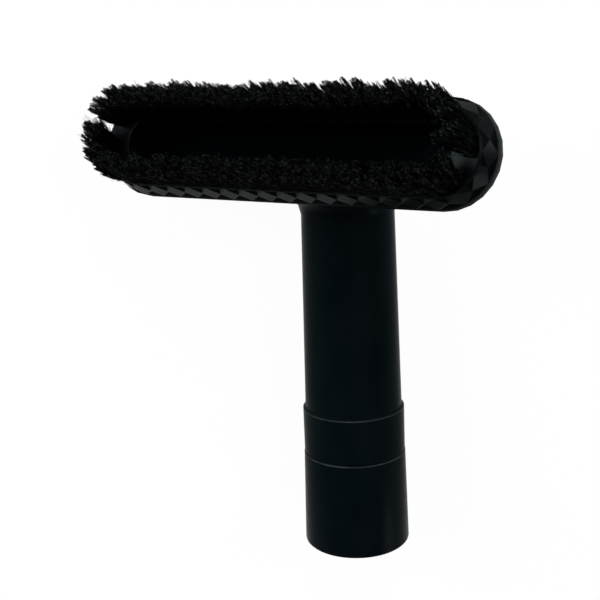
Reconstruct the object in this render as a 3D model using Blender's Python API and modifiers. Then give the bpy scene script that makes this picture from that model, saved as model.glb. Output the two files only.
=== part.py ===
"""Vacuum upholstery tool: a socket tube, a hood at its head, and a brush in the hood's mouth.

The tool is modelled upright in its own frame, with the socket end at the origin and the tube along +Z.
The head's own frame has +X along the mouth, +Y across it, away from the tube, and +Z out of it.
An empty then lays the whole tool down as it comes to rest.
"""
import math
import random

import bmesh
import bpy
import numpy as np
from mathutils import Matrix, Vector

MM = 0.001

# Socket and neck: a friction fit for a 35 mm wand
BORE_MOUTH_RADIUS = 17.6 * MM
BORE_DEEP_RADIUS = 17.3 * MM
BORE_DEPTH = 46.0 * MM
SOCKET_MOUTH_RADIUS = 19.9 * MM
SOCKET_TOP_RADIUS = 19.15 * MM
SOCKET_EDGE_ROUNDING = 1.0 * MM
SOCKET_EDGE_BREAK = 0.3 * MM
LINE_HEIGHT = 36.1 * MM
LINE_WIDTH = 0.9 * MM
LINE_DEPTH = 0.45 * MM
COLLAR_RADIUS = 19.0 * MM
COLLAR_TOP = 54.3 * MM
COLLAR_CHAMFER = 0.7 * MM
COLLAR_SEAT_INSET = 1.5 * MM
COLLAR_SEAT_RISE = 0.3 * MM
NECK_BASE_RADIUS = 18.1 * MM
NECK_TOP_RADIUS = 16.9 * MM
NECK_TOP = 127.0 * MM
NECK_OVERLAP = 4.0 * MM
NECK_SEAT_OVERLAP = 0.2 * MM
WALL = 2.0 * MM
SOCKET_SEGMENTS = 72
SOCKET_ROUNDING_STEPS = 3

# Head: where the hood's mouth lies, and how far the mouth leans over from facing along the tube
HEAD_TILT = math.radians(76.0)
MOUTH_HEIGHT = 153.1 * MM
MOUTH_REACH = 36.7 * MM
HEAD_HALF_STRAIGHT = 55.6 * MM
HOOD_RADIUS = 16.2 * MM
HOOD_SETBACK = 0.8 * MM
HOOD_FULLNESS = 0.95
HOOD_SIDE_FLARE = math.radians(14.0)
HOOD_END_FLARE = math.radians(44.0)
HOOD_SECTIONS = 10
LIP_OUTER_RADIUS = 17.2 * MM
LIP_ROUND = 1.05 * MM
LIP_RESOLUTION = 2

# Brush frame: the faceted rim that plugs into the hood and carries the bristles
FIT_CLEARANCE = 0.3 * MM
FACETS_PER_SIDE = 15
FACETS_PER_END = 6
FACET_FOOT_RADIUS = 17.0 * MM
FACET_FOOT_HEIGHT = 3.3 * MM
FACET_TOP_RADIUS = 14.3 * MM
FACET_TOP_HEIGHT = 9.3 * MM
FACET_PIT_DEPTH = 1.1 * MM
LOW_PIT_SHARE = 0.2
WAIST_SHARE = 0.5
HIGH_PIT_SHARE = 0.8
FRAME_HEIGHT = 9.9 * MM
FRAME_EDGE = 0.6 * MM
SPIGOT_RADIUS = 10.4 * MM
SPIGOT_LENGTH = 2.0 * MM
SPIGOT_WALL = 1.8 * MM
SLOT_HALF_WIDTH = 8.3 * MM
SLOT_HALF_LENGTH = 60.1 * MM
SLOT_LIP_WIDTH = 0.5 * MM
SLOT_LIP_HEIGHT = 0.35 * MM
SLOT_LIP_SLOPE = 0.15 * MM
GROOVE_FLOOR_WALL = 1.8 * MM

# Brush strips: each runs along one long side and round one end, with a gap where the two would meet
STRIP_RADIUS = 11.1 * MM
GROOVE_WIDTH = 4.0 * MM
GROOVE_DEPTH = 4.2 * MM
GAP_CENTRE = math.radians(-22.5)
GAP_HALF_ANGLE = math.radians(15.0)
BACKING_HEIGHT = 3.7 * MM
BRISTLE_HEIGHT = 12.1 * MM
BRISTLE_SPLAY = 2.1 * MM
BRISTLE_SPREAD = 0.4 * MM
BRISTLE_LEAN = 3.4 * MM
BRISTLE_CURVE = 1.5
BRISTLE_MIDDLE_SHARE = 0.55
BRISTLE_WIDEST_SHARE = 0.92
BRISTLE_CROWN = 0.35
BRISTLE_OUTLINE = (
    (-1.0, 0.0),
    (1.0, 0.0),
    (1.0, BRISTLE_MIDDLE_SHARE),
    (1.0, BRISTLE_WIDEST_SHARE),
    (BRISTLE_CROWN, 1.0),
    (-BRISTLE_CROWN, 1.0),
    (-1.0, BRISTLE_WIDEST_SHARE),
    (-1.0, BRISTLE_MIDDLE_SHARE),
)
TUFT_PITCH = 5.2 * MM
TUFT_FULLNESS = (0.0, 0.75, 1.0, 0.75)
TUFT_WAIST = 0.7
TUFT_NOTCH = 3.2 * MM
TUFT_SCATTER = 0.9 * MM
REAR_SEED = 11
FRONT_SEED = 23

# Densities, and the side that the tool lies on, only for finding how it comes to rest
BODY_DENSITY = 905.0
BACKING_DENSITY = 1100.0
BRISTLE_DENSITY = 350.0
RESTING_SIDE = Vector((-0.6, 0.8, 0.0))

# Mesh finish
MERGE_DISTANCE = 0.005 * MM
BODY_SMOOTHING = 32.0
RIM_SMOOTHING = 20.0

HALF_STEPS_PER_SIDE = 2 * FACETS_PER_SIDE
HALF_STEPS_PER_END = 2 * FACETS_PER_END
RING_COUNT = 2 * (HALF_STEPS_PER_SIDE + HALF_STEPS_PER_END)
MOUTH_CENTRE = Vector((0.0, -MOUTH_REACH, MOUTH_HEIGHT))
HEAD_MATRIX = Matrix.Translation(MOUTH_CENTRE) @ Matrix.Rotation(HEAD_TILT, 4, "X")


def clear_scene():
    for old in list(bpy.data.objects):
        bpy.data.objects.remove(old, do_unlink=True)


def material(name, colour, roughness, metallic=0.0):
    """A Principled material; the colour is linear RGB."""
    made = bpy.data.materials.new(name)
    made.use_nodes = True
    shader = made.node_tree.nodes["Principled BSDF"]
    shader.inputs["Base Color"].default_value = (*colour, 1.0)
    shader.inputs["Roughness"].default_value = roughness
    shader.inputs["Metallic"].default_value = metallic
    made.diffuse_color = (*colour, 1.0)
    return made


def collection(name):
    made = bpy.data.collections.new(name)
    bpy.context.scene.collection.children.link(made)
    return made


def mesh_object(name, mesh, home, matrix=None, look=None):
    made = bpy.data.objects.new(name, mesh)
    home.objects.link(made)
    if matrix is not None:
        made.matrix_world = matrix
    if look is not None:
        mesh.materials.clear()
        mesh.materials.append(look)
    return made


def as_cutter(tool):
    tool.hide_render = True
    tool.display_type = "WIRE"
    return tool


def apply_modifiers(made):
    """Replaces an object's mesh with its evaluated one."""
    bpy.context.view_layer.update()
    evaluated = made.evaluated_get(bpy.context.evaluated_depsgraph_get())
    mesh = bpy.data.meshes.new_from_object(evaluated)
    made.modifiers.clear()
    made.data = mesh
    return made


def boolean(made, tool, operation):
    modifier = made.modifiers.new(operation.lower(), "BOOLEAN")
    modifier.operation = operation
    modifier.solver = "EXACT"
    modifier.object = tool


def stadium(radius, height=0.0, half=HEAD_HALF_STRAIGHT):
    """An outline at one distance from the mouth's middle line, in the head's frame.

    It starts where the near side meets the left end and runs along the near side first.
    """
    points = []
    for i in range(HALF_STEPS_PER_SIDE):
        share = 2.0 * i / HALF_STEPS_PER_SIDE - 1.0
        points.append(Vector((half * share, -radius, height)))
    for i in range(HALF_STEPS_PER_END):
        angle = math.pi * (i / HALF_STEPS_PER_END - 0.5)
        points.append(Vector((half + radius * math.cos(angle), radius * math.sin(angle), height)))
    return points + [Vector((-p.x, -p.y, p.z)) for p in points]


def tube_ring(radius, height):
    """A circle round the tube whose points match those of the mouth's outline."""
    first = -math.pi / 2 - math.pi * HALF_STEPS_PER_SIDE / RING_COUNT
    angles = [first + 2.0 * math.pi * i / RING_COUNT for i in range(RING_COUNT)]
    return [Vector((radius * math.cos(a), radius * math.sin(a), height)) for a in angles]


def add_ring(bm, points):
    return [bm.verts.new(p) for p in points]


def skin_rings(bm, lower, upper):
    """Joins two rings; the faces look outward when the rings turn counter-clockwise as they rise."""
    count = len(lower)
    for i in range(count):
        j = (i + 1) % count
        bm.faces.new((lower[i], lower[j], upper[j], upper[i]))


def smooth_by_angle(mesh, degrees):
    mesh.shade_smooth()
    mesh.set_sharp_from_angle(angle=math.radians(degrees))


def flare_directions():
    """The way the hood's wall runs as it meets the mouth, in the tool's frame.

    It leans outward a little along the sides and much more at the ends.
    """
    directions = []
    for inner, outer in zip(stadium(0.0), stadium(1.0)):
        outward = outer - inner
        flare = HOOD_SIDE_FLARE + (HOOD_END_FLARE - HOOD_SIDE_FLARE) * abs(outward.x)
        local = outward * math.sin(flare) + Vector((0.0, 0.0, math.cos(flare)))
        directions.append(HEAD_MATRIX.to_3x3() @ local)
    return directions


def hood_skin_mesh():
    """The neck's and the hood's outer surface: round at the collar, long and narrow at the mouth."""
    bm = bmesh.new()
    start = tube_ring(NECK_TOP_RADIUS, NECK_TOP)
    foot = tube_ring(NECK_BASE_RADIUS, COLLAR_TOP - NECK_OVERLAP)
    rings = [foot, tube_ring(NECK_BASE_RADIUS, COLLAR_TOP), start]
    end = [HEAD_MATRIX @ p for p in stadium(HOOD_RADIUS, -HOOD_SETBACK)]
    flares = flare_directions()
    for section in range(1, HOOD_SECTIONS + 1):
        s = section / HOOD_SECTIONS
        ring = []
        for neck, top, flare in zip(start, end, flares):
            pull = HOOD_FULLNESS * (top - neck).length
            point = neck * (2 * s**3 - 3 * s**2 + 1) + top * (3 * s**2 - 2 * s**3)
            point = point + Vector((0.0, 0.0, pull)) * (s**3 - 2 * s**2 + s)
            point = point + flare * (pull * (s**3 - s**2))
            ring.append(point)
        rings.append(ring)
    added = [add_ring(bm, ring) for ring in rings]
    for lower, upper in zip(added, added[1:]):
        skin_rings(bm, lower, upper)
    mesh = bpy.data.meshes.new("hood_skin")
    bm.to_mesh(mesh)
    bm.free()
    return mesh


def socket_profile():
    """The socket's section as (radius, height), down its outer side and up its bore."""
    rounding = SOCKET_EDGE_ROUNDING
    seat = COLLAR_TOP + COLLAR_SEAT_RISE
    core = NECK_BASE_RADIUS - WALL - NECK_SEAT_OVERLAP
    points = [
        (COLLAR_RADIUS - COLLAR_SEAT_INSET, seat),
        (COLLAR_RADIUS - COLLAR_CHAMFER, COLLAR_TOP),
        (COLLAR_RADIUS, COLLAR_TOP - COLLAR_CHAMFER),
        (COLLAR_RADIUS, LINE_HEIGHT + LINE_WIDTH),
        (COLLAR_RADIUS - LINE_DEPTH, LINE_HEIGHT + 0.5 * LINE_WIDTH),
        (SOCKET_TOP_RADIUS, LINE_HEIGHT),
    ]
    for step in range(SOCKET_ROUNDING_STEPS + 1):
        angle = math.pi / 2 * step / SOCKET_ROUNDING_STEPS
        inset = rounding * (1.0 - math.cos(angle))
        points.append((SOCKET_MOUTH_RADIUS - inset, rounding * (1.0 - math.sin(angle))))
    points += [
        (BORE_MOUTH_RADIUS + SOCKET_EDGE_BREAK, 0.0),
        (BORE_MOUTH_RADIUS, SOCKET_EDGE_BREAK),
        (BORE_DEEP_RADIUS, BORE_DEPTH),
        (core, BORE_DEPTH + WALL),
        (core, seat),
    ]
    return points


def socket_object(home):
    profile = socket_profile()
    mesh = bpy.data.meshes.new("socket")
    edges = [(i, (i + 1) % len(profile)) for i in range(len(profile))]
    mesh.from_pydata([(radius, 0.0, height) for radius, height in profile], edges, [])
    made = mesh_object("socket", mesh, home)
    screw = made.modifiers.new("turned", "SCREW")
    screw.steps = SOCKET_SEGMENTS
    screw.render_steps = SOCKET_SEGMENTS
    screw.use_merge_vertices = True
    screw.merge_threshold = MERGE_DISTANCE
    return apply_modifiers(made)


def lip_object(home):
    """The rounded lip round the hood's mouth, a closed rod bent along the mouth's outline."""
    curve = bpy.data.curves.new("hood_lip", "CURVE")
    curve.dimensions = "3D"
    curve.bevel_depth = LIP_ROUND
    curve.bevel_resolution = LIP_RESOLUTION
    path = stadium(LIP_OUTER_RADIUS - LIP_ROUND)
    spline = curve.splines.new("POLY")
    spline.points.add(len(path) - 1)
    for point, place in zip(spline.points, path):
        point.co = (*place, 1.0)
    spline.use_cyclic_u = True
    made = bpy.data.objects.new("hood_lip_curve", curve)
    home.objects.link(made)
    made.matrix_world = HEAD_MATRIX
    bpy.context.view_layer.update()
    mesh = bpy.data.meshes.new_from_object(made.evaluated_get(bpy.context.evaluated_depsgraph_get()))
    bm = bmesh.new()
    bm.from_mesh(mesh)
    bmesh.ops.remove_doubles(bm, verts=bm.verts, dist=MERGE_DISTANCE)
    bm.to_mesh(mesh)
    bm.free()
    lip = mesh_object("hood_lip", mesh, home, made.matrix_world.copy())
    bpy.data.objects.remove(made, do_unlink=True)
    return as_cutter(lip)


def nozzle_body(home, tools, look):
    """One moulding: the socket, the neck, the elbow and the hood with its lip."""
    made = mesh_object("nozzle_body", hood_skin_mesh(), home)
    shell = made.modifiers.new("wall", "SOLIDIFY")
    shell.thickness = WALL
    shell.offset = -1.0
    shell.use_even_offset = True
    boolean(made, as_cutter(socket_object(tools)), "UNION")
    boolean(made, lip_object(tools), "UNION")
    apply_modifiers(made)
    made.data.materials.clear()
    made.data.materials.append(look)
    smooth_by_angle(made.data, BODY_SMOOTHING)
    return made


def facet_band(bm, foot, top):
    """Raised lozenges with a three-sided pit between each two, at the foot and at the top."""
    slant = math.atan2(FACET_FOOT_RADIUS - FACET_TOP_RADIUS, FACET_TOP_HEIGHT - FACET_FOOT_HEIGHT)
    count = len(foot)

    def along(share, depth):
        radius = FACET_FOOT_RADIUS + share * (FACET_TOP_RADIUS - FACET_FOOT_RADIUS) - depth * math.cos(slant)
        height = FACET_FOOT_HEIGHT + share * (FACET_TOP_HEIGHT - FACET_FOOT_HEIGHT) - depth * math.sin(slant)
        return stadium(radius, height)

    waist = along(WAIST_SHARE, 0.0)
    low_pit = along(LOW_PIT_SHARE, FACET_PIT_DEPTH)
    high_pit = along(HIGH_PIT_SHARE, FACET_PIT_DEPTH)
    necks = {i: bm.verts.new(waist[i]) for i in range(1, count, 2)}
    for i in range(0, count, 2):
        left = necks[(i - 1) % count]
        right = necks[i + 1]
        after = (i + 2) % count
        bm.faces.new((left, foot[i], top[i]))
        bm.faces.new((foot[i], right, top[i]))
        low = bm.verts.new(low_pit[i + 1])
        high = bm.verts.new(high_pit[i + 1])
        low_edge = (foot[i], foot[i + 1], foot[after], right)
        high_edge = (top[after], top[i + 1], top[i], right)
        for edge, pit in ((low_edge, low), (high_edge, high)):
            for a, b in zip(edge, edge[1:] + edge[:1]):
                bm.faces.new((a, b, pit))


def frame_mesh():
    """The brush frame: a spigot, the faceted rim, the flat land, and the lipped slot down through it."""
    shoulder = LIP_ROUND + FIT_CLEARANCE
    rib_foot = FRAME_HEIGHT - GROOVE_DEPTH - GROOVE_FLOOR_WALL
    lip_top = FRAME_HEIGHT + SLOT_LIP_HEIGHT
    lip_foot = SLOT_HALF_WIDTH + SLOT_LIP_WIDTH
    slot_half = SLOT_HALF_LENGTH - SLOT_HALF_WIDTH
    bore = SPIGOT_RADIUS - SPIGOT_WALL
    below = [
        stadium(SPIGOT_RADIUS, -SPIGOT_LENGTH),
        stadium(SPIGOT_RADIUS, shoulder),
        stadium(FACET_FOOT_RADIUS - FRAME_EDGE, shoulder),
        stadium(FACET_FOOT_RADIUS, FACET_FOOT_HEIGHT),
    ]
    above = [
        stadium(FACET_TOP_RADIUS, FACET_TOP_HEIGHT),
        stadium(FACET_TOP_RADIUS - FRAME_EDGE, FRAME_HEIGHT),
        stadium(lip_foot, FRAME_HEIGHT, slot_half),
        stadium(lip_foot - SLOT_LIP_SLOPE, lip_top, slot_half),
        stadium(SLOT_HALF_WIDTH, lip_top, slot_half),
        stadium(SLOT_HALF_WIDTH, rib_foot, slot_half),
        stadium(bore, rib_foot),
        stadium(bore, -SPIGOT_LENGTH),
    ]
    bm = bmesh.new()
    lower = [add_ring(bm, outline) for outline in below]
    upper = [add_ring(bm, outline) for outline in above]
    for first, second in zip(lower, lower[1:]):
        skin_rings(bm, first, second)
    facet_band(bm, lower[-1], upper[0])
    for first, second in zip(upper, upper[1:] + lower[:1]):
        skin_rings(bm, first, second)
    mesh = bpy.data.meshes.new("brush_frame")
    bm.to_mesh(mesh)
    bm.free()
    return mesh


def strip_path(spacing):
    """Points and outward directions along a brush strip's middle line, in the head's frame.

    The strip starts in the right-hand gap, rounds the right end, runs along the far side, and ends
    in the left-hand gap.
    """
    half = HEAD_HALF_STRAIGHT
    first = GAP_CENTRE + GAP_HALF_ANGLE
    last = math.pi + GAP_CENTRE - GAP_HALF_ANGLE
    right_arc = (math.pi / 2 - first) * STRIP_RADIUS
    left_arc = (last - math.pi / 2) * STRIP_RADIUS
    total = right_arc + 2.0 * half + left_arc
    steps = max(2, round(total / spacing))
    stations = []
    for i in range(steps + 1):
        gone = total * i / steps
        if gone < right_arc:
            angle = first + gone / STRIP_RADIUS
            centre = Vector((half, 0.0, 0.0))
        elif gone <= right_arc + 2.0 * half:
            angle = math.pi / 2
            centre = Vector((half - (gone - right_arc), 0.0, 0.0))
        else:
            angle = math.pi / 2 + (gone - right_arc - 2.0 * half) / STRIP_RADIUS
            centre = Vector((-half, 0.0, 0.0))
        outward = Vector((math.cos(angle), math.sin(angle), 0.0))
        stations.append((centre + STRIP_RADIUS * outward, outward))
    return stations


def sweep_mesh(name, sections):
    """A closed solid from sections with equal numbers of points, with a flat face at each end."""
    bm = bmesh.new()
    rings = [add_ring(bm, section) for section in sections]
    for lower, upper in zip(rings, rings[1:]):
        skin_rings(bm, lower, upper)
    bm.faces.new(list(reversed(rings[0])))
    bm.faces.new(rings[-1])
    bmesh.ops.recalc_face_normals(bm, faces=bm.faces)
    mesh = bpy.data.meshes.new(name)
    bm.to_mesh(mesh)
    bm.free()
    return mesh


def bar_sections(width, foot, top, overrun=0.0):
    """A rectangular bar along the strip's path; overrun lengthens it past both ends."""
    stations = strip_path(TUFT_PITCH / 2.0)
    up = Vector((0.0, 0.0, 1.0))
    first, last = stations[0], stations[-1]
    if overrun:
        before = first[0] + overrun * first[1].cross(up)
        after = last[0] - overrun * last[1].cross(up)
        stations = [(before, first[1])] + stations + [(after, last[1])]
    sections = []
    for place, outward in stations:
        inner = place - 0.5 * width * outward
        outer = place + 0.5 * width * outward
        sections.append([inner + foot * up, outer + foot * up, outer + top * up, inner + top * up])
    return sections


def bristle_sections(facing, seed):
    """The bristles' outer form: tufts that splay, lean to the head's far side and end unevenly."""
    scatter = random.Random(seed)
    base = FRAME_HEIGHT - GROOVE_DEPTH + BACKING_HEIGHT + 2.0 * FIT_CLEARANCE
    root_half = 0.5 * GROOVE_WIDTH - FIT_CLEARANCE
    tip_half = root_half + BRISTLE_SPLAY
    lean = Vector((0.0, BRISTLE_LEAN * facing, 0.0))
    up = Vector((0.0, 0.0, 1.0))
    steps = len(TUFT_FULLNESS)
    sections = []
    for i, (place, outward) in enumerate(strip_path(TUFT_PITCH / steps)):
        if i % steps == 0:
            tuft = [TUFT_SCATTER * scatter.uniform(-1.0, 1.0) for _ in range(3)]
        fullness = TUFT_FULLNESS[i % steps]
        tip = FRAME_HEIGHT + BRISTLE_HEIGHT - TUFT_NOTCH * (1.0 - fullness) + tuft[0] * fullness
        wander = (tuft[1] * outward + tuft[2] * outward.cross(up)) * fullness
        shift = lean + BRISTLE_SPREAD * outward + wander
        swell = TUFT_WAIST + (1.0 - TUFT_WAIST) * fullness
        section = []
        for side, share in BRISTLE_OUTLINE:
            widening = min(1.0, share / BRISTLE_WIDEST_SHARE)
            half = root_half + (tip_half * swell - root_half) * widening
            point = place + side * half * outward + shift * share**BRISTLE_CURVE
            section.append(point + (base + (tip - base) * share) * up)
        sections.append(section)
    return sections


def brush_frame(home, tools, look):
    made = mesh_object("brush_frame", frame_mesh(), home, HEAD_MATRIX)
    half_turn = Matrix.Rotation(math.pi, 4, "Z")
    foot = FRAME_HEIGHT - GROOVE_DEPTH
    top = FRAME_HEIGHT + GROOVE_DEPTH
    sections = bar_sections(GROOVE_WIDTH, foot, top, overrun=FIT_CLEARANCE)
    for name, turn in (("rear_groove", Matrix()), ("front_groove", half_turn)):
        cutter = mesh_object(name, sweep_mesh(name, sections), tools, HEAD_MATRIX @ turn)
        boolean(made, as_cutter(cutter), "DIFFERENCE")
    apply_modifiers(made)
    made.data.materials.clear()
    made.data.materials.append(look)
    smooth_by_angle(made.data, RIM_SMOOTHING)
    return made


def brush_strip(home, side, turn, backing_look, bristle_look, seed):
    """A backing in its groove, and the bristles that stand in it."""
    matrix = HEAD_MATRIX @ turn
    floor = FRAME_HEIGHT - GROOVE_DEPTH + FIT_CLEARANCE
    bar = bar_sections(GROOVE_WIDTH - 2.0 * FIT_CLEARANCE, floor, floor + BACKING_HEIGHT)
    backing = mesh_object(f"{side}_strip_backing", sweep_mesh(f"{side}_strip_backing", bar), home, matrix)
    backing.data.materials.append(backing_look)
    facing = 1.0 if side == "rear" else -1.0
    tufts = bristle_sections(facing, seed)
    bristles = mesh_object(f"{side}_bristles", sweep_mesh(f"{side}_bristles", tufts), home, matrix)
    bristles.data.materials.append(bristle_look)
    return [(backing, BACKING_DENSITY), (bristles, BRISTLE_DENSITY)]


def tool_points(made):
    return np.array([made.matrix_world @ v.co for v in made.data.vertices])


def tool_triangles(made):
    made.data.calc_loop_triangles()
    return tool_points(made)[np.array([t.vertices[:] for t in made.data.loop_triangles])]


def centre_of_mass(weighed):
    total = 0.0
    moment = np.zeros(3)
    for made, density in weighed:
        corners = tool_triangles(made)
        volumes = np.einsum("ij,ij->i", corners[:, 0], np.cross(corners[:, 1], corners[:, 2])) / 6.0
        total += density * volumes.sum()
        moment += density * (volumes[:, None] * corners.sum(axis=1) / 4.0).sum(axis=0)
    return Vector(moment / total)


def supporting_side(points, balance):
    """The outward normal of the hull's face, nearest the chosen side, on which the tool balances."""
    bm = bmesh.new()
    for point in points:
        bm.verts.new(point)
    bmesh.ops.convex_hull(bm, input=bm.verts)
    bmesh.ops.triangulate(bm, faces=bm.faces)
    best = None
    for face in bm.faces:
        corners = [v.co for v in face.verts]
        normal = face.normal.copy()
        below = balance + normal * (corners[0] - balance).dot(normal)
        turns = [(b - a).cross(below - a).dot(normal) for a, b in zip(corners, corners[1:] + corners[:1])]
        if min(turns) > 0 and (best is None or normal.dot(RESTING_SIDE) > best.dot(RESTING_SIDE)):
            best = normal
    bm.free()
    return best


def lay_down(weighed, home):
    """Parents the tool to an empty that lays it on its side, head away along +Y, on the ground.

    The origin ends up at the middle of the underside of the whole tool's box.
    """
    points = np.concatenate([tool_points(made) for made, _ in weighed])
    up = -supporting_side(points, centre_of_mass(weighed))
    right = Vector((0.0, 0.0, 1.0)).cross(up).normalized()
    turn = Matrix((right, up.cross(right), up))
    turned = points @ np.array(turn).T
    low = turned.min(axis=0)
    high = turned.max(axis=0)
    shift = Matrix.Translation((-(low[0] + high[0]) / 2, -(low[1] + high[1]) / 2, -low[2]))
    empty = bpy.data.objects.new("rest_pose", None)
    home.objects.link(empty)
    empty.matrix_world = shift @ turn.to_4x4()
    for made, _ in weighed:
        made.parent = empty
    return empty


def main():
    clear_scene()
    parts = collection("vacuum_upholstery_tool")
    tools = collection("cutters")
    plastic = material("black_plastic", (0.0035, 0.0045, 0.005), 0.38)
    rim = material("black_rim_plastic", (0.0045, 0.005, 0.0055), 0.3)
    backing = material("black_backing", (0.006, 0.006, 0.006), 0.6)
    bristle = material("black_bristle", (0.004, 0.0045, 0.0045), 0.7)

    body = nozzle_body(parts, tools, plastic)
    frame = brush_frame(parts, tools, rim)
    weighed = [(body, BODY_DENSITY), (frame, BODY_DENSITY)]
    weighed += brush_strip(parts, "rear", Matrix(), backing, bristle, REAR_SEED)
    weighed += brush_strip(parts, "front", Matrix.Rotation(math.pi, 4, "Z"), backing, bristle, FRONT_SEED)
    bpy.context.view_layer.update()
    lay_down(weighed, parts)
    bpy.context.view_layer.update()
    return weighed


main()
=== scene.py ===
"""Looks for a vacuum upholstery tool that lies on a pale floor, seen from above.

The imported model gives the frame: metres, head along +Y, floor at zero.
The tool frame has the socket end at its origin and the tube along +Z.
The head frame has +X along the mouth, +Y across it, away from the tube, and +Z out of it.
"""
import math
from collections import namedtuple

import bpy
import numpy as np
from mathutils import Matrix, Vector


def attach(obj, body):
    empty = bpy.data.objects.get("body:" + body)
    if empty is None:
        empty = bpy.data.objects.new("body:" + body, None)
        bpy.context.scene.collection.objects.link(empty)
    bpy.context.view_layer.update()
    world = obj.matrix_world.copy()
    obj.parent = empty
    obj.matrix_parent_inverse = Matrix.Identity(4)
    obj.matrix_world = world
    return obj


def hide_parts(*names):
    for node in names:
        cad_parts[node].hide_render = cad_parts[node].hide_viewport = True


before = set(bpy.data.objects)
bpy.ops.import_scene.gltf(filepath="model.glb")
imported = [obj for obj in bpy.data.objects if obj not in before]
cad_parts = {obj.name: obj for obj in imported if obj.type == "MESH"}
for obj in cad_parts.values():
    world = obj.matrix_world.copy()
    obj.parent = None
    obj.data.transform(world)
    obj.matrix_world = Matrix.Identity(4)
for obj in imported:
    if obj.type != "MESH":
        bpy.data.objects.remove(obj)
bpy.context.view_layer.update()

MM = 0.001
BODY = "root"

# How the tool lies: rolled about its tube, and pitched up a little at the head
ROLL = math.radians(34.91267)
PITCH = math.radians(1.63958)
SOCKET_END = Vector((26.2440, -88.9130, 20.5260)) * MM

# The head, as in the solids
HEAD_TILT = math.radians(76.0)
MOUTH_CENTRE = Vector((0.0, -36.7, 153.1)) * MM
HALF_STRAIGHT = 55.6 * MM
FRAME_HEIGHT = 9.9 * MM
STRIP_RADIUS = 11.1 * MM
GAP_CENTRE = math.radians(-22.5)
GAP_HALF_ANGLE = math.radians(15.0)
STRIP_START = GAP_CENTRE + GAP_HALF_ANGLE
STRIP_END = math.pi + GAP_CENTRE - GAP_HALF_ANGLE
STRIP_LENGTH = (STRIP_END - STRIP_START) * STRIP_RADIUS + 2.0 * HALF_STRAIGHT

# Bristles: rows of small bundles on each strip, whose tips gather in larger tufts
BUNDLE_ROWS = {"inner": (-1.05 * MM, -0.35 * MM), "outer": (0.35 * MM, 1.05 * MM)}
ROOT_HALF = 1.7 * MM
BUNDLE_PITCH = 2.6 * MM
BUNDLE_ROOT_RADIUS = 0.75 * MM
BUNDLE_TIP_RADIUS = 1.5 * MM
ROW_TIP_STRETCH = 2.4
TUFT_PITCH = 5.2 * MM
TUFT_PULL = 0.27
START_PULL = 0.75
START_REACH = 17.0 * MM
TUFT_WANDER = np.array((0.42, 0.42, 0.28)) * MM
TIP_DOME = 2.2 * MM
HAIRS_PER_BUNDLE = 90
CLUMPS_PER_BUNDLE = 8
CLUMP_PULL = 0.6
CLUMP_WANDER = 0.34 * MM
CLUMP_RISE = 0.7
STRAY_SHARE = 0.012
STRAY_WANDER = 0.9 * MM
STRAY_SHAPE = (1.0, 1.0, 0.5)
HAIR_SIDES = 3
HAIR_RINGS = 4
HAIR_RADIUS = 0.095 * MM
HAIR_THICKNESS = (0.75, 1.2)
HAIR_TAPER = 0.35
HAIR_CURL = 0.15 * MM
TIP_SCATTER = 0.5 * HAIR_CURL
HAIR_BEND = 1.6
ROOT_BELLY = 1.1 * MM
HAIR_ROOT = FRAME_HEIGHT - 0.4 * MM
HAIR_TOP = FRAME_HEIGHT + 12.1 * MM
STRIP_LEAN = np.array((-1.6, 3.4, 0.0)) * MM
STRIP_SPREAD = 0.8 * MM
END_FAN = 3.5 * MM
FAN_REACH = 6.0 * MM
SWEEP_REACH = 18.0 * MM

# Each strip: how far its frame is turned from the head frame, which way its tips lean, how far its
# first tips are swept in and fan back, and the seed of its hairs
Strip = namedtuple("Strip", "side turn facing sweep start_fan seed")
STRIPS = (
    Strip(side="rear", turn=0.0, facing=1.0, sweep=4.0 * MM, start_fan=2.0 * MM, seed=5),
    Strip(side="front", turn=math.pi, facing=-1.0, sweep=0.0, start_fan=4.6 * MM, seed=9),
)

# Shorter hairs that splay from both sides of a strip, over the plastic beside it
FLANK_HAIRS = 5200
FLANK_LOWEST = 0.12
FLANK_HIGHEST = 0.9
FLANK_ROOT = 0.6
INNER_REACH = 3.8 * MM
OUTER_REACH = 3.3 * MM
FLANK_WANDER = 0.3 * MM
FLANK_WANDER_AHEAD = 2.0 * FLANK_WANDER
# Painted shade: the inner side's flank hairs are painted darker, as if in shade, in tone and at their
# tips
INNER_PAINTED_LIGHT = 0.1
OUTER_PAINTED_LIGHT = 1.0
FLANK_SIDES = ((-1.0, INNER_REACH, INNER_PAINTED_LIGHT), (1.0, OUTER_REACH, OUTER_PAINTED_LIGHT))

# Camera: the photograph's, in the tool frame
CAMERA_PLACE = Vector((186.65, -336.48, 190.78)) * MM
CAMERA_RIGHT = Vector((0.85470, 0.51752, -0.04064))
CAMERA_UP = Vector((-0.09152, 0.22728, 0.96952))
CAMERA_BACK = Vector((0.51098, -0.82493, 0.24162))
SENSOR_WIDTH = 36.0
LENS = 64.61
NEAREST_SEEN = 0.02
FARTHEST_SEEN = 30.0

# Smooth shading of the plastic: only points that lie on each other are joined
JOIN_DISTANCE = 0.00001 * MM
BODY_SMOOTH_ANGLE = math.radians(32.0)
RIM_SMOOTH_ANGLE = math.radians(20.0)

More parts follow.
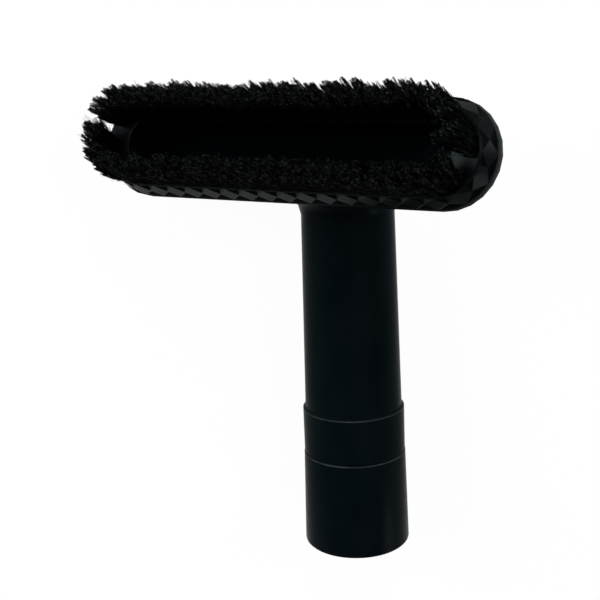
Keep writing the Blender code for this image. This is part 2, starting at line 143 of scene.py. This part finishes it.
# Plastic
Plastic = namedtuple("Plastic", "name dark pale roughness grain grain_depth specular")
BODY_PLASTIC = Plastic(
    name="black_plastic",
    dark=(0.0011, 0.0028, 0.0036),
    pale=(0.0020, 0.0038, 0.0048),
    roughness=0.28,
    grain=5200.0,
    grain_depth=0.012 * MM,
    specular=0.008,
)
RIM_PLASTIC = Plastic(
    name="black_rim_plastic",
    dark=(0.0010, 0.0016, 0.0018),
    pale=(0.0020, 0.0028, 0.0030),
    roughness=0.28,
    grain=5200.0,
    grain_depth=0.006 * MM,
    specular=0.030,
)
BACKING_PLASTIC = Plastic(
    name="black_backing",
    dark=(0.0015, 0.0018, 0.0018),
    pale=(0.003, 0.0034, 0.0034),
    roughness=0.6,
    grain=3000.0,
    grain_depth=0.02 * MM,
    specular=0.15,
)
SHEEN_TINT = (0.8, 0.97, 1.0, 1.0)
CLOUD_SCALE = 70.0
SHEEN_SCALE = 260.0
SMOOTHER = 0.04
ROUGHER = 0.05
FLOW_SCALE = 45.0
FLOW_DEPTH = 0.12 * MM
FLOW_STRENGTH = 0.3
GRAIN_STRENGTH = 0.5
EDGE_ROUND = 0.4 * MM
EDGE_SAMPLES = 6

# Painted highlights on edges: two rings at heights along the tube, and the flange at a height out of the
# mouth, where the painted highlight grows from its start to its end, both measured along the mouth from
# its centre
PAINTED_EDGE_HIGHLIGHT = (0.04, 0.044, 0.046, 1.0)
HIGHLIGHT_BREAKUP_SCALE = 160.0
HIGHLIGHT_BREAKUP_LEAST = 0.35
RING_EDGES = (53.6 * MM, 36.1 * MM)
RING_EDGE_HALF = 0.3 * MM
FLANGE_EDGE = 0.7 * MM
FLANGE_EDGE_HALF = 1.6 * MM
FLANGE_HIGHLIGHT_START = 50.0 * MM
FLANGE_HIGHLIGHT_END = 64.0 * MM

# Hair
HAIR_SPECULAR = 0.02
HAIR_DARK = (0.0002, 0.0004, 0.0004, 1.0)
HAIR_PALE = (0.0015, 0.0020, 0.0020, 1.0)
# Painted sparkle: a pale colour on the cut ends at the hair tips stands in for glints on them
PAINTED_TIP_SPARKLE = (0.10, 0.11, 0.11, 1.0)
TIP_SPARKLE_START = 0.85
PATCH_SCALE = 1100.0
PATCH_START = 0.45
PATCH_END = 0.65
HAIR_SMOOTHEST = 0.45
HAIR_ROUGHEST = 0.65

# Light and stage
FLOOR_HALF = 6.0
FLOOR_DROP = 0.05 * MM
FLOOR_GLOW = 0.96
FLOOR_COLOUR = (0.93, 0.93, 0.93, 1.0)
WHITE = (1.0, 1.0, 1.0, 1.0)
HORIZON_LIGHT = 1.0
ZENITH_LIGHT = 0.08
HORIZON_TOP = 0.04
ZENITH_FOOT = 0.36
LIGHT_AIM = (0.0, 0.0, 0.04)
Lamp = namedtuple("Lamp", "name place size level")
LAMPS = (
    Lamp(name="key", place=(-1.2, 0.55, 0.75), size=0.75, level=1.1),
    Lamp(name="right", place=(1.4, 0.45, 0.42), size=0.5, level=0.3),
    Lamp(name="front", place=(1.15, -0.95, 0.42), size=0.4, level=0.15),
    Lamp(name="back", place=(0.05, 1.4, 1.05), size=0.6, level=0.3),
    Lamp(name="top", place=(0.5, -0.4, 1.4), size=1.0, level=0.12),
    Lamp(name="upper", place=(0.9, 0.6, 1.15), size=0.7, level=0.3),
)


def rest_matrix():
    """The tool frame's place in the model's frame."""
    right = Vector((math.cos(ROLL), math.sin(ROLL), 0.0))
    up = Vector((math.cos(PITCH) * math.sin(ROLL), -math.cos(PITCH) * math.cos(ROLL), -math.sin(PITCH)))
    turn = Matrix((right, up.cross(right), up))
    return Matrix.Translation(SOCKET_END) @ turn.to_4x4()


REST = rest_matrix()
HEAD = REST @ Matrix.Translation(MOUTH_CENTRE) @ Matrix.Rotation(HEAD_TILT, 4, "X")


def clear_defaults():
    for name in ("Cube", "Light", "Camera"):
        old = bpy.data.objects.get(name)
        if old is not None:
            bpy.data.objects.remove(old, do_unlink=True)


# Materials

# The places of the colour sockets on a mix node
MIX_FIRST = 6
MIX_SECOND = 7
MIX_RESULT = 2


class Nodes:
    """A small helper that adds and links shader nodes."""

    def __init__(self, material):
        self.tree = material.node_tree
        self.shader = self.tree.nodes["Principled BSDF"]

    def add(self, kind, settings=None, **inputs):
        node = self.tree.nodes.new(kind)
        for name, value in (settings or {}).items():
            setattr(node, name, value)
        for name, value in inputs.items():
            self.feed(node.inputs[name.replace("_", " ")], value)
        return node

    def feed(self, socket, value):
        if isinstance(value, bpy.types.NodeSocket):
            self.tree.links.new(value, socket)
        else:
            socket.default_value = value

    def attribute(self, name):
        return self.add("ShaderNodeAttribute", {"attribute_name": name}).outputs["Fac"]

    def noise(self, scale, detail=3.0, roughness=0.55):
        coordinates = self.add("ShaderNodeTexCoord").outputs["Object"]
        node = self.add("ShaderNodeTexNoise", Scale=scale, Detail=detail, Roughness=roughness)
        self.tree.links.new(coordinates, node.inputs["Vector"])
        return node.outputs["Fac"]

    def spread(self, value, low, high, start=0.3, end=0.7):
        node = self.add("ShaderNodeMapRange", Value=value)
        node.inputs["From Min"].default_value = start
        node.inputs["From Max"].default_value = end
        node.inputs["To Min"].default_value = low
        node.inputs["To Max"].default_value = high
        return node.outputs["Result"]

    def product(self, first, second):
        node = self.add("ShaderNodeMath", {"operation": "MULTIPLY"})
        self.feed(node.inputs[0], first)
        self.feed(node.inputs[1], second)
        return node.outputs[0]

    def blend(self, share, first, second):
        node = self.add("ShaderNodeMix", {"data_type": "RGBA"})
        self.feed(node.inputs["Factor"], share)
        self.feed(node.inputs[MIX_FIRST], first)
        self.feed(node.inputs[MIX_SECOND], second)
        return node.outputs[MIX_RESULT]

    def distance_along(self, origin, axis):
        """How far a point lies along an axis from an origin, in the model's frame."""
        coordinates = self.add("ShaderNodeTexCoord").outputs["Object"]
        offset = self.add("ShaderNodeVectorMath", {"operation": "SUBTRACT"})
        self.feed(offset.inputs[0], coordinates)
        self.feed(offset.inputs[1], origin)
        along = self.add("ShaderNodeVectorMath", {"operation": "DOT_PRODUCT"})
        self.feed(along.inputs[0], offset.outputs["Vector"])
        self.feed(along.inputs[1], axis)
        return along.outputs["Value"]

    def near(self, value, place, half_width):
        """A share that is one at a place and falls to nothing at half a width to either side."""
        node = self.add("ShaderNodeMath", {"operation": "SUBTRACT"})
        self.feed(node.inputs[0], value)
        self.feed(node.inputs[1], place)
        size = self.add("ShaderNodeMath", {"operation": "ABSOLUTE"})
        self.feed(size.inputs[0], node.outputs[0])
        return self.spread(size.outputs[0], 1.0, 0.0, 0.0, half_width)

    def rounded(self, radius):
        node = self.add("ShaderNodeBevel", {"samples": EDGE_SAMPLES}, Radius=radius)
        return node.outputs["Normal"]

    def bump(self, height, distance, strength=1.0, normal=None):
        node = self.add("ShaderNodeBump", Height=height, Distance=distance, Strength=strength)
        if normal is not None:
            self.tree.links.new(normal, node.inputs["Normal"])
        return node.outputs["Normal"]


def new_material(name, specular):
    material = bpy.data.materials.new(name)
    material.use_nodes = True
    nodes = Nodes(material)
    nodes.shader.inputs["Specular IOR Level"].default_value = specular
    nodes.shader.inputs["Specular Tint"].default_value = SHEEN_TINT
    return material, nodes


def moulded_plastic(plastic):
    """Black moulded plastic: a fine grain, faint flow marks and an uneven sheen."""
    material, nodes = new_material(plastic.name, plastic.specular)
    shader = nodes.shader
    cloud = nodes.spread(nodes.noise(CLOUD_SCALE, detail=4.0), 0.0, 1.0)
    colour = nodes.blend(cloud, (*plastic.dark, 1.0), (*plastic.pale, 1.0))
    nodes.feed(shader.inputs["Base Color"], colour)
    sheen = nodes.noise(SHEEN_SCALE, detail=5.0, roughness=0.6)
    uneven = nodes.spread(sheen, plastic.roughness - SMOOTHER, plastic.roughness + ROUGHER)
    nodes.feed(shader.inputs["Roughness"], uneven)
    marks = nodes.noise(FLOW_SCALE, detail=2.0)
    flow = nodes.bump(marks, FLOW_DEPTH, FLOW_STRENGTH, nodes.rounded(EDGE_ROUND))
    grain = nodes.noise(plastic.grain, detail=3.0, roughness=0.6)
    fine = nodes.bump(grain, plastic.grain_depth, GRAIN_STRENGTH, flow)
    nodes.feed(shader.inputs["Normal"], fine)
    return material


def paint_edge_highlights(material):
    """The tube's two stepped edges, and the flange round both ends of the head, get a paler colour as a
    painted highlight.
    """
    nodes = Nodes(material)
    colour = nodes.shader.inputs["Base Color"].links[0].from_socket
    # Painted highlight: noise breaks up the pale edge bands
    highlight_breakup = nodes.spread(nodes.noise(HIGHLIGHT_BREAKUP_SCALE, detail=2.0), HIGHLIGHT_BREAKUP_LEAST, 1.0)
    height = nodes.distance_along(REST.translation, REST.to_3x3() @ Vector((0.0, 0.0, 1.0)))
    for place in RING_EDGES:
        share = nodes.product(nodes.near(height, place, RING_EDGE_HALF), highlight_breakup)
        colour = nodes.blend(share, colour, PAINTED_EDGE_HIGHLIGHT)
    across = nodes.distance_along(HEAD.translation, HEAD.to_3x3() @ Vector((1.0, 0.0, 0.0)))
    out = nodes.distance_along(HEAD.translation, HEAD.to_3x3() @ Vector((0.0, 0.0, 1.0)))
    end = nodes.near(across, 0.0, FLANGE_HIGHLIGHT_END)
    end = nodes.spread(end, 1.0, 0.0, 0.0, 1.0 - FLANGE_HIGHLIGHT_START / FLANGE_HIGHLIGHT_END)
    share = nodes.product(nodes.near(out, FLANGE_EDGE, FLANGE_EDGE_HALF), end)
    colour = nodes.blend(share, colour, PAINTED_EDGE_HIGHLIGHT)
    nodes.feed(nodes.shader.inputs["Base Color"], colour)


def bristle_material():
    """Black hair: strands differ a little in tone, some are darkened as painted shade, and a pale colour
    on their cut ends is a painted sparkle.
    """
    material, nodes = new_material("black_hair", HAIR_SPECULAR)
    shader = nodes.shader
    strand = nodes.attribute("strand")
    along = nodes.attribute("along")
    shade = nodes.blend(strand, HAIR_DARK, HAIR_PALE)
    patch = nodes.spread(nodes.noise(PATCH_SCALE, detail=2.0), 0.0, 1.0, PATCH_START, PATCH_END)
    # Painted sparkle on the cut ends, in patches
    sparkle = nodes.product(nodes.spread(along, 0.0, 1.0, TIP_SPARKLE_START, 1.0), nodes.product(strand, patch))
    nodes.feed(shader.inputs["Base Color"], nodes.blend(sparkle, shade, PAINTED_TIP_SPARKLE))
    nodes.feed(shader.inputs["Roughness"], nodes.spread(strand, HAIR_SMOOTHEST, HAIR_ROUGHEST, 0.0, 1.0))
    return material


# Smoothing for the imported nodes, whose triangles arrive unjoined

def smoothing(name, most_angle):
    """Nodes that shade a mesh smoothly where its faces meet at less than an angle."""
    group = bpy.data.node_groups.new(name, "GeometryNodeTree")
    group.interface.new_socket("Geometry", in_out="INPUT", socket_type="NodeSocketGeometry")
    group.interface.new_socket("Geometry", in_out="OUTPUT", socket_type="NodeSocketGeometry")
    nodes = group.nodes
    start = nodes.new("NodeGroupInput")
    plain = nodes.new("GeometryNodeRemoveAttribute")
    plain.inputs["Name"].default_value = "custom_normal"
    merge = nodes.new("GeometryNodeMergeByDistance")
    merge.inputs["Distance"].default_value = JOIN_DISTANCE
    faces = nodes.new("GeometryNodeSetShadeSmooth")
    faces.domain = "FACE"
    angle = nodes.new("GeometryNodeInputMeshEdgeAngle")
    compare = nodes.new("FunctionNodeCompare")
    compare.operation = "LESS_THAN"
    compare.inputs["B"].default_value = most_angle
    edges = nodes.new("GeometryNodeSetShadeSmooth")
    edges.domain = "EDGE"
    end = nodes.new("NodeGroupOutput")
    group.links.new(angle.outputs["Unsigned Angle"], compare.inputs["A"])
    group.links.new(compare.outputs["Result"], edges.inputs["Shade Smooth"])
    chain = (start, plain, merge, faces, edges, end)
    for first, second in zip(chain, chain[1:]):
        group.links.new(first.outputs["Geometry"], second.inputs["Geometry"])
    return group


def smooth_node(name, group):
    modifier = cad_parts[name].modifiers.new("smooth", "NODES")
    modifier.node_group = group


# Bristles

def strip_point(gone):
    """The place and outward direction at one distance along the middle line, in the strip's frame."""
    right_arc = (math.pi / 2 - STRIP_START) * STRIP_RADIUS
    if gone < right_arc:
        angle = STRIP_START + gone / STRIP_RADIUS
        centre = np.array((HALF_STRAIGHT, 0.0, 0.0))
    elif gone <= right_arc + 2.0 * HALF_STRAIGHT:
        angle = math.pi / 2
        centre = np.array((HALF_STRAIGHT - (gone - right_arc), 0.0, 0.0))
    else:
        angle = math.pi / 2 + (gone - right_arc - 2.0 * HALF_STRAIGHT) / STRIP_RADIUS
        centre = np.array((-HALF_STRAIGHT, 0.0, 0.0))
    outward = np.array((math.cos(angle), math.sin(angle), 0.0))
    return centre + STRIP_RADIUS * outward, outward


def along_strip(outward):
    """The direction along a strip's middle line, from its first end on."""
    return np.array((-outward[1], outward[0], 0.0))


def fade(distance, reach):
    """A share that is one at no distance and falls to nothing at a reach."""
    return max(0.0, 1.0 - distance / reach)


def in_disc(draw, count):
    """Points spread evenly over a unit disc, as two columns."""
    radius = np.sqrt(draw.random(count))
    turn = draw.random(count) * 2.0 * math.pi
    return np.stack([radius * np.cos(turn), radius * np.sin(turn)], axis=1)


def bundle_hairs(draw, place, outward, offset, shift, tip_drift):
    """One bundle's hairs in the strip's frame: roots, bellies, tips and their share of painted light,
    which is full for these hairs.

    The hairs fan out from a round root, and their tips draw together in small clumps.
    """
    count = HAIRS_PER_BUNDLE
    axes = np.stack([outward, along_strip(outward)])
    fan = in_disc(draw, count)
    clump_fan = in_disc(draw, CLUMPS_PER_BUNDLE)
    nearest = np.argmin(((fan[:, None] - clump_fan[None])**2).sum(axis=2), axis=1)
    tip_fan = (1.0 - CLUMP_PULL) * fan + CLUMP_PULL * clump_fan[nearest]
    clump_drift = draw.normal(0.0, CLUMP_WANDER, (CLUMPS_PER_BUNDLE, 3))
    root = place + offset * outward + BUNDLE_ROOT_RADIUS * (fan @ axes)
    root[:, 2] = HAIR_ROOT
    tip = place + offset * ROW_TIP_STRETCH * outward + shift + BUNDLE_TIP_RADIUS * (tip_fan @ axes)
    edge = (offset + BUNDLE_ROOT_RADIUS * fan[:, 0]) / ROOT_HALF
    tip[:, :2] += clump_drift[nearest, :2] + draw.normal(0.0, TIP_SCATTER, (count, 2)) + tip_drift[:2]
    tip[:, 2] = HAIR_TOP - TIP_DOME * edge**2 + tip_drift[2]
    tip[:, 2] += CLUMP_RISE * clump_drift[nearest, 2] + draw.normal(0.0, HAIR_CURL, count)
    stray = draw.random(count) < STRAY_SHARE
    tip[stray] += draw.normal(0.0, STRAY_WANDER, (int(stray.sum()), 3)) * STRAY_SHAPE
    belly = ROOT_BELLY * edge[:, None] * outward
    return root, belly, tip, np.ones(count)


def hair_mesh(name, roots, bellies, tips, pale, draw):
    """One mesh of thin hairs that bulge out of the groove and then bend to their tips."""
    count = len(roots)
    share = np.linspace(0.0, 1.0, HAIR_RINGS)
    span = tips - roots
    centre = np.empty((count, HAIR_RINGS, 3))
    curl = draw.normal(0.0, HAIR_CURL, (count, HAIR_RINGS, 2))
    for k, s in enumerate(share):
        centre[:, k, 2] = roots[:, 2] + span[:, 2] * s
        centre[:, k, :2] = roots[:, :2] + span[:, :2] * s**HAIR_BEND + curl[:, k] * s
        centre[:, k] += bellies * math.sin(math.pi * s)
    spin = draw.random(count) * 2.0 * math.pi
    thick = HAIR_RADIUS * draw.uniform(*HAIR_THICKNESS, count)
    points = np.empty((count, HAIR_RINGS, HAIR_SIDES, 3))
    for corner in range(HAIR_SIDES):
        angle = spin + corner * 2.0 * math.pi / HAIR_SIDES
        around = np.stack([np.cos(angle), np.sin(angle), np.zeros(count)], axis=1)
        for k, s in enumerate(share):
            taper = thick * (1.0 - HAIR_TAPER * s)
            points[:, k, corner] = centre[:, k] + around * taper[:, None]
    base = np.arange(count)[:, None] * (HAIR_SIDES * HAIR_RINGS)
    quads = []
    for k in range(HAIR_RINGS - 1):
        low = HAIR_SIDES * k
        high = low + HAIR_SIDES
        for corner in range(HAIR_SIDES):
            after = (corner + 1) % HAIR_SIDES
            quads.append([low + corner, low + after, high + after, high + corner])
    quads = (base[:, None, :] + np.array(quads)[None]).reshape(-1, 4)
    ring = np.arange(HAIR_SIDES)[None]
    top = HAIR_SIDES * (HAIR_RINGS - 1)
    caps = np.concatenate([base + top + ring, base + ring[:, ::-1]])
    mesh = bpy.data.meshes.new(name)
    mesh.from_pydata(points.reshape(-1, 3).tolist(), [], quads.tolist() + caps.tolist())
    # Each strand's random tone, scaled by pale, its share of painted light: lower and inner flank hairs
    # get painted shade
    strand = np.repeat(pale * draw.random(count)**2, HAIR_SIDES * HAIR_RINGS)
    along = np.tile(np.repeat(share, HAIR_SIDES), count)
    for label, values in (("strand", strand), ("along", along)):
        mesh.attributes.new(label, "FLOAT", "POINT").data.foreach_set("value", values.astype(np.float32))
    return mesh


def strip_shift(gone, outward, strip):
    """How far the tips stand off their roots at one distance along a strip."""
    left = STRIP_LENGTH - gone
    fan = END_FAN * fade(left, FAN_REACH) - strip.start_fan * fade(gone, FAN_REACH)
    swept = np.array((-strip.sweep * fade(gone, SWEEP_REACH), 0.0, 0.0))
    return strip.facing * STRIP_LEAN + STRIP_SPREAD * outward + fan * along_strip(outward) + swept


def hair_rows(draw, strip, offsets):
    """The hairs of some rows; each second row's bundles stand between the first's."""
    tufts = draw.normal(0.0, 1.0, (round(STRIP_LENGTH / TUFT_PITCH) + 2, 3)) * TUFT_WANDER
    found = []
    for row, offset in enumerate(offsets):
        count = round(STRIP_LENGTH / BUNDLE_PITCH) - row
        spare = STRIP_LENGTH - (count - 1) * BUNDLE_PITCH
        for i in range(count):
            gone = 0.5 * spare + i * BUNDLE_PITCH
            place, outward = strip_point(gone)
            tuft = int(gone / TUFT_PITCH)
            pull = TUFT_PULL + START_PULL * fade(gone, START_REACH)
            gather = pull * ((tuft + 0.5) * TUFT_PITCH - gone)
            shift = strip_shift(gone, outward, strip) + gather * along_strip(outward)
            found.append(bundle_hairs(draw, place, outward, offset, shift, tufts[tuft]))
    return [np.concatenate(column) for column in zip(*found)]


def flank_hairs(draw, strip):
    """The shorter hairs that splay from a strip's two sides.

    Their tone and pale tips are painted darker low down and on the inner side, as painted shade.
    """
    roots = np.empty((FLANK_HAIRS, 3))
    tips = np.empty((FLANK_HAIRS, 3))
    pale = np.empty(FLANK_HAIRS)
    for i in range(FLANK_HAIRS):
        gone = draw.uniform(0.0, STRIP_LENGTH)
        place, outward = strip_point(gone)
        side, reach, painted_light = FLANK_SIDES[draw.integers(2)]
        share = draw.uniform(FLANK_LOWEST, FLANK_HIGHEST)
        # Painted shade: lower hairs, and those on the inner side, are darker
        pale[i] = painted_light * share
        reach += draw.normal(0.0, FLANK_WANDER)
        roots[i] = place + side * ROOT_HALF * draw.uniform(FLANK_ROOT, 1.0) * outward
        bend = strip_shift(gone, outward, strip) * share**HAIR_BEND
        astray = draw.normal(0.0, FLANK_WANDER_AHEAD) * along_strip(outward)
        tips[i] = place + side * reach * outward + bend + astray
        tips[i, 2] = HAIR_ROOT + share * (HAIR_TOP - HAIR_ROOT)
    roots[:, 2] = HAIR_ROOT
    return roots, np.zeros((FLANK_HAIRS, 3)), tips, pale


def bristle_piece(name, strip, hairs, draw, look):
    """One mesh of a strip's hairs, which takes the place of the strip's plain solid."""
    node = f"{strip.side}_bristles"
    made = bpy.data.objects.new(name, hair_mesh(name, *hairs, draw))
    bpy.context.scene.collection.objects.link(made)
    made.matrix_world = HEAD @ Matrix.Rotation(strip.turn, 4, "Z")
    made.data.materials.append(look)
    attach(made, BODY)
    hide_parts(node)


def bristle_strip(strip, look):
    """All the hairs of one strip: its inner rows, its outer rows and its two flanks."""
    draw = np.random.default_rng(strip.seed)
    for row, offsets in BUNDLE_ROWS.items():
        hairs = hair_rows(draw, strip, offsets)
        bristle_piece(f"{strip.side}_bristle_hairs_{row}", strip, hairs, draw, look)
    hairs = flank_hairs(draw, strip)
    bristle_piece(f"{strip.side}_bristle_hairs_flank", strip, hairs, draw, look)


# Stage

def seen_share(tree, most):
    """A share that counts for camera, glossy and transmission rays only."""
    path = tree.nodes.new("ShaderNodeLightPath")
    first = tree.nodes.new("ShaderNodeMath")
    first.operation = "MAXIMUM"
    tree.links.new(path.outputs["Is Camera Ray"], first.inputs[0])
    tree.links.new(path.outputs["Is Glossy Ray"], first.inputs[1])
    second = tree.nodes.new("ShaderNodeMath")
    second.operation = "MAXIMUM"
    tree.links.new(first.outputs[0], second.inputs[0])
    tree.links.new(path.outputs["Is Transmission Ray"], second.inputs[1])
    scaled = tree.nodes.new("ShaderNodeMath")
    scaled.operation = "MULTIPLY"
    scaled.inputs[1].default_value = most
    tree.links.new(second.outputs[0], scaled.inputs[0])
    return scaled.outputs[0]


def make_floor():
    """A pale floor that keeps the tool's shadow and looks white to the camera."""
    mesh = bpy.data.meshes.new("floor")
    corners = [(-1, -1), (1, -1), (1, 1), (-1, 1)]
    mesh.from_pydata([(FLOOR_HALF * x, FLOOR_HALF * y, 0.0) for x, y in corners], [], [(0, 1, 2, 3)])
    floor = bpy.data.objects.new("floor", mesh)
    bpy.context.scene.collection.objects.link(floor)
    floor.location.z = -FLOOR_DROP
    material = bpy.data.materials.new("pale_floor")
    material.use_nodes = True
    tree = material.node_tree
    tree.nodes.clear()
    paper = tree.nodes.new("ShaderNodeBsdfDiffuse")
    paper.inputs["Color"].default_value = FLOOR_COLOUR
    glow = tree.nodes.new("ShaderNodeEmission")
    glow.inputs["Strength"].default_value = 1.0
    mix = tree.nodes.new("ShaderNodeMixShader")
    out = tree.nodes.new("ShaderNodeOutputMaterial")
    tree.links.new(seen_share(tree, FLOOR_GLOW), mix.inputs[0])
    tree.links.new(paper.outputs[0], mix.inputs[1])
    tree.links.new(glow.outputs[0], mix.inputs[2])
    tree.links.new(mix.outputs[0], out.inputs[0])
    mesh.materials.append(material)


def make_world():
    """A surround that is white at the horizon and dim overhead."""
    world = bpy.data.worlds.new("studio")
    bpy.context.scene.world = world
    world.use_nodes = True
    tree = world.node_tree
    tree.nodes.clear()
    direction = tree.nodes.new("ShaderNodeTexCoord")
    split = tree.nodes.new("ShaderNodeSeparateXYZ")
    height = tree.nodes.new("ShaderNodeMapRange")
    height.interpolation_type = "SMOOTHSTEP"
    height.inputs["From Min"].default_value = HORIZON_TOP
    height.inputs["From Max"].default_value = ZENITH_FOOT
    height.inputs["To Min"].default_value = HORIZON_LIGHT
    height.inputs["To Max"].default_value = ZENITH_LIGHT
    soft = tree.nodes.new("ShaderNodeBackground")
    soft.inputs["Color"].default_value = WHITE
    out = tree.nodes.new("ShaderNodeOutputWorld")
    tree.links.new(direction.outputs["Generated"], split.inputs[0])
    tree.links.new(split.outputs["Z"], height.inputs["Value"])
    tree.links.new(height.outputs["Result"], soft.inputs["Strength"])
    tree.links.new(soft.outputs[0], out.inputs[0])


def soft_lamp(lamp):
    """A square soft light; its level is what it adds to a white surface that faces it at the aim."""
    data = bpy.data.lights.new(lamp.name, "AREA")
    data.shape = "SQUARE"
    data.size = lamp.size
    reach = Vector(lamp.place) - Vector(LIGHT_AIM)
    data.energy = lamp.level * math.pi**2 * reach.length_squared
    light = bpy.data.objects.new(lamp.name, data)
    bpy.context.scene.collection.objects.link(light)
    light.location = lamp.place
    light.rotation_mode = "QUATERNION"
    light.rotation_quaternion = reach.to_track_quat("Z", "Y")


def make_camera():
    data = bpy.data.cameras.new("camera")
    data.sensor_width = SENSOR_WIDTH
    data.lens = LENS
    data.clip_start = NEAREST_SEEN
    data.clip_end = FARTHEST_SEEN
    camera = bpy.data.objects.new("camera", data)
    bpy.context.scene.collection.objects.link(camera)
    axes = Matrix((CAMERA_RIGHT, CAMERA_UP, CAMERA_BACK)).transposed().to_4x4()
    camera.matrix_world = REST @ Matrix.Translation(CAMERA_PLACE) @ axes
    bpy.context.scene.camera = camera


def dress_nodes():
    """Plastic for the nodes that stay, and smooth shading for the two large ones."""
    body = moulded_plastic(BODY_PLASTIC)
    # Painted highlights on the body's ring edges and flange ends
    paint_edge_highlights(body)
    rim = moulded_plastic(RIM_PLASTIC)
    backing = moulded_plastic(BACKING_PLASTIC)
    looks = {
        "nozzle_body": body,
        "brush_frame": rim,
        "rear_strip_backing": backing,
        "front_strip_backing": backing,
    }
    for name, look in looks.items():
        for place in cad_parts[name].material_slots:
            place.material = look
    smooth_node("nozzle_body", smoothing("smooth_body", BODY_SMOOTH_ANGLE))
    smooth_node("brush_frame", smoothing("smooth_rim", RIM_SMOOTH_ANGLE))


def main():
    clear_defaults()
    make_camera()
    dress_nodes()
    hair = bristle_material()
    for strip in STRIPS:
        bristle_strip(strip, hair)
    make_floor()
    make_world()
    for lamp in LAMPS:
        soft_lamp(lamp)
    bpy.context.scene.view_settings.view_transform = "Standard"


main()
